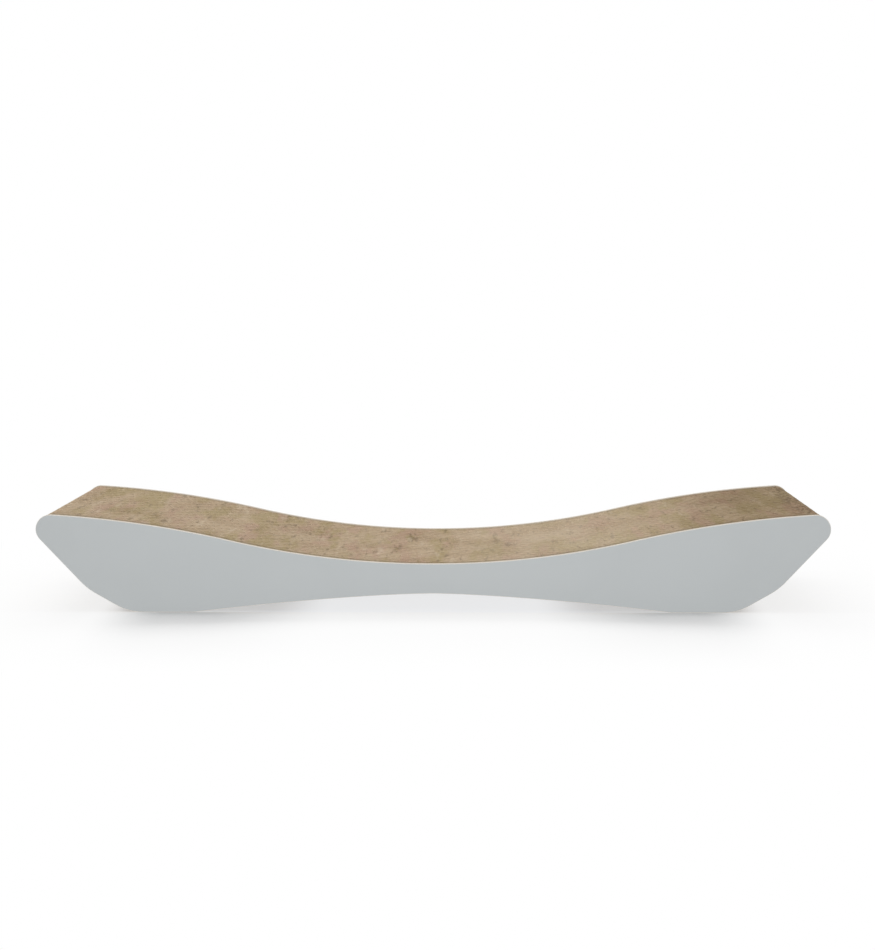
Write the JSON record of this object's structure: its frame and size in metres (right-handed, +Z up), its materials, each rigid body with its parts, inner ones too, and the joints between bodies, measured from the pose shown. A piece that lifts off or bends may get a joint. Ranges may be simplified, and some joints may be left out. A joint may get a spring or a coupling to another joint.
{
  "type": "cardboard cat scratcher",
  "caption": "Bow-shaped lounge scratcher for cats: upright fluted cardboard boards laminated side by side between smooth side panels with a printed facing",
  "frame": {"origin": "centre of the bounding box in plan, on the floor plane under the feet", "axes": "X along the length, Y across the laminated boards from the front panel to the back panel, Z up"},
  "size_m": [0.7, 0.2296, 0.087],
  "materials": {
    "core": "matte kraft",
    "panel": "matte, pale raw edge",
    "facing": "matte printed grey"
  },
  "bodies": {
    "root": {"front_facing": "facing", "front_panel": "panel", "core_board_01": "core", "core_board_02": "core", "core_board_03": "core", "core_board_04": "core", "core_board_05": "core", "core_board_06": "core", "core_board_07": "core", "core_board_08": "core", "core_board_09": "core", "core_board_10": "core", "core_board_11": "core", "core_board_12": "core", "core_board_13": "core", "core_board_14": "core", "core_board_15": "core", "core_board_16": "core", "core_board_17": "core", "core_board_18": "core", "core_board_19": "core", "core_board_20": "core", "core_board_21": "core", "core_board_22": "core", "core_board_23": "core", "core_board_24": "core", "core_board_25": "core", "core_board_26": "core", "core_board_27": "core", "core_board_28": "core", "core_board_29": "core", "core_board_30": "core", "back_panel": "panel", "back_facing": "facing"}
  },
  "joints": []
}
